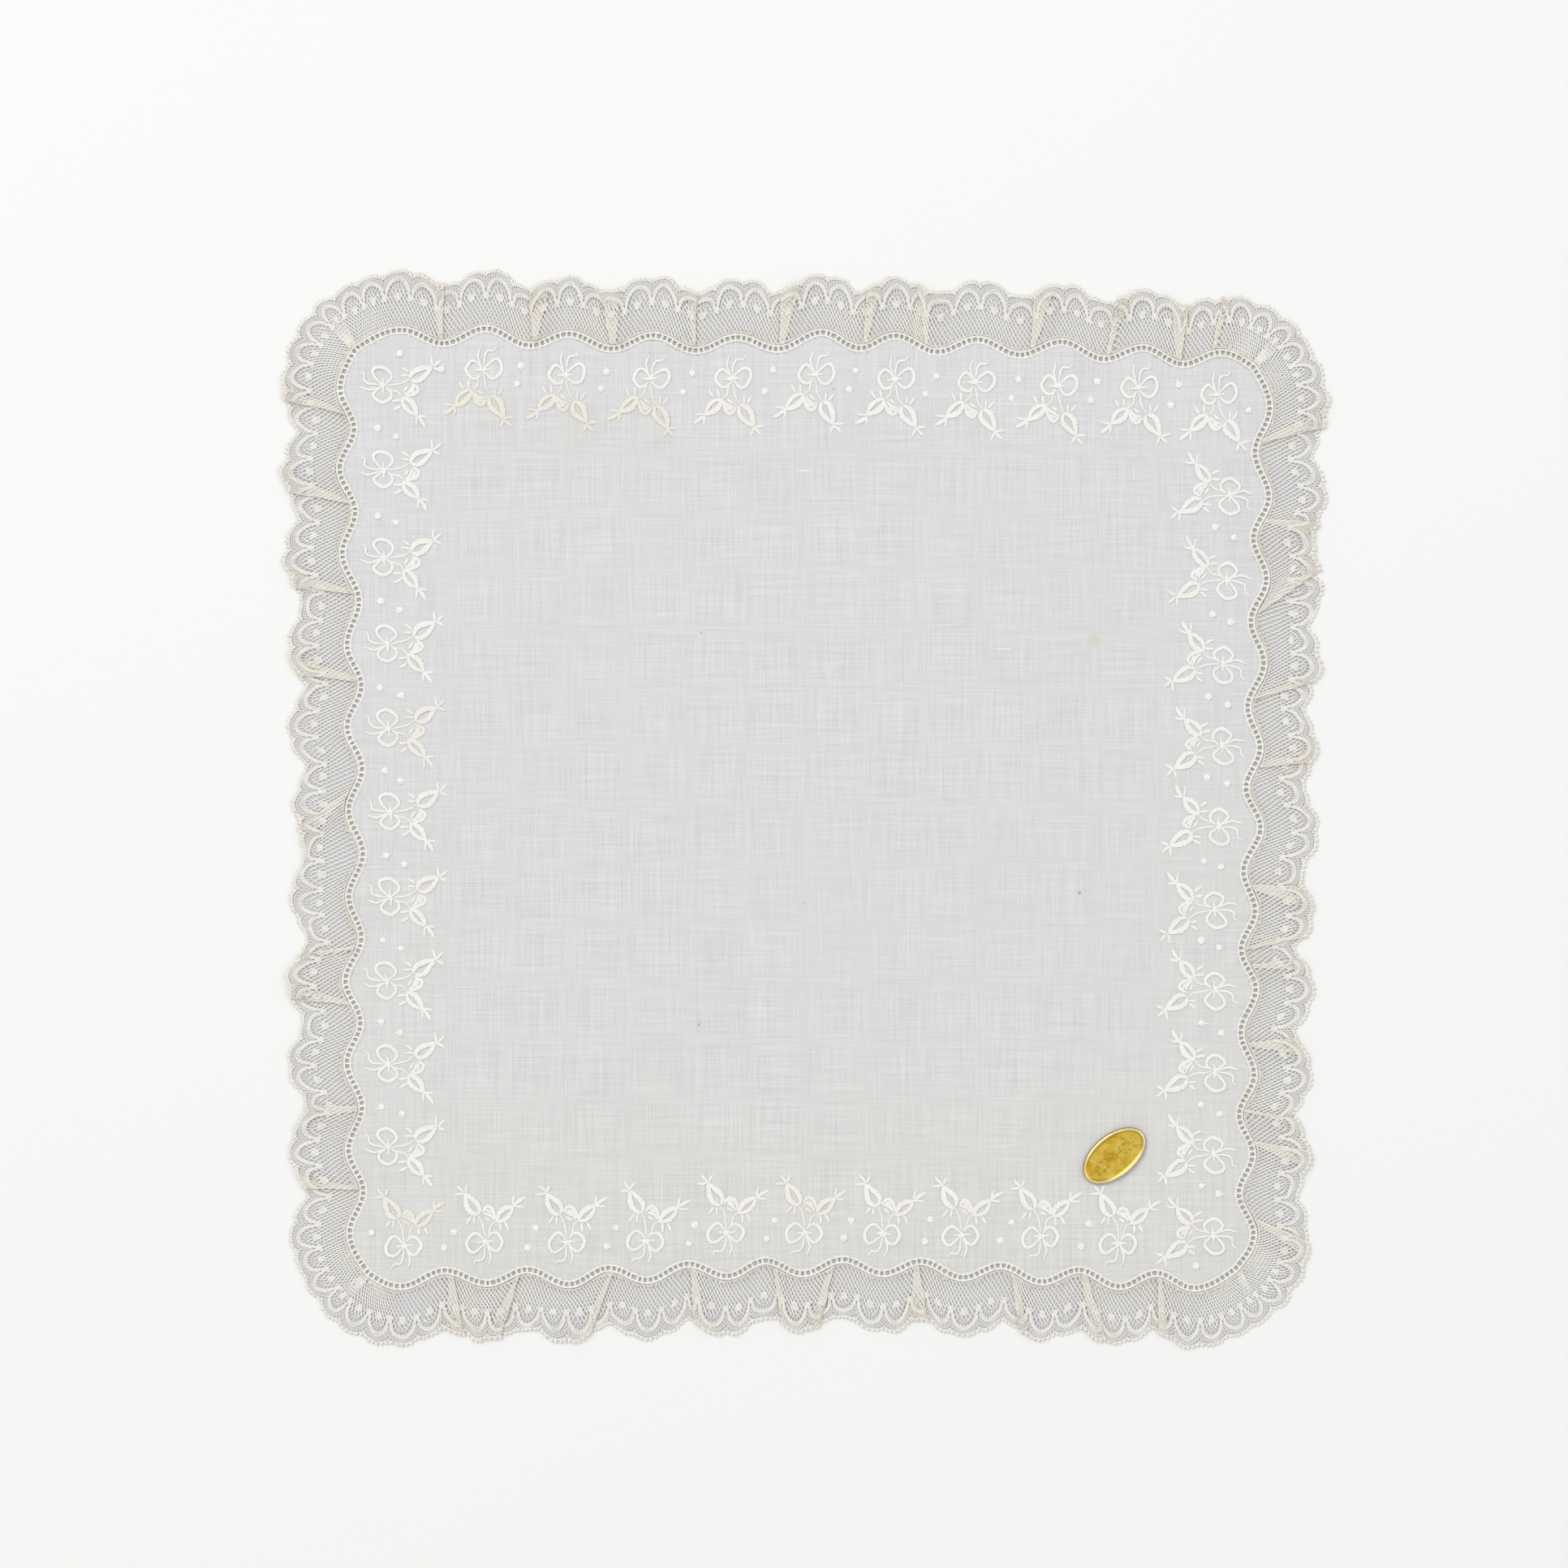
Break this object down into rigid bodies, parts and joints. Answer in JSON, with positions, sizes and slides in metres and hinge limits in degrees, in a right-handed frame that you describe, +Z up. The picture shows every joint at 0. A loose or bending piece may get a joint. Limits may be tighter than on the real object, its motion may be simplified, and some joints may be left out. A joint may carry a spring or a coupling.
{
  "type": "handkerchief",
  "caption": "Square lawn handkerchief laid flat, with a lobed entredeux edge, a gathered scalloped lace frill in flat pleats and an oval foil seal.",
  "frame": {"origin": "middle of the square, on the underside, which is the surface it lies on", "axes": "+Z up from the surface, +Y towards the handkerchief's top edge, +X towards its right edge, with the foil seal in the lower right corner"},
  "size_m": [0.2976, 0.3059, 0.004],
  "materials": {
    "white_lawn": "fine semi-sheer cotton lawn, greyish white",
    "cream_cotton": "cream cotton entredeux, matt",
    "ivory_lace": "ivory cotton bobbin-type lace, matt",
    "gold_foil": "embossed gold paper foil, semi-gloss"
  },
  "bodies": {
    "root": {"lawn_panel": "white_lawn", "beading": "cream_cotton", "lace_edging": "ivory_lace", "foil_seal": "gold_foil"}
  },
  "joints": []
}
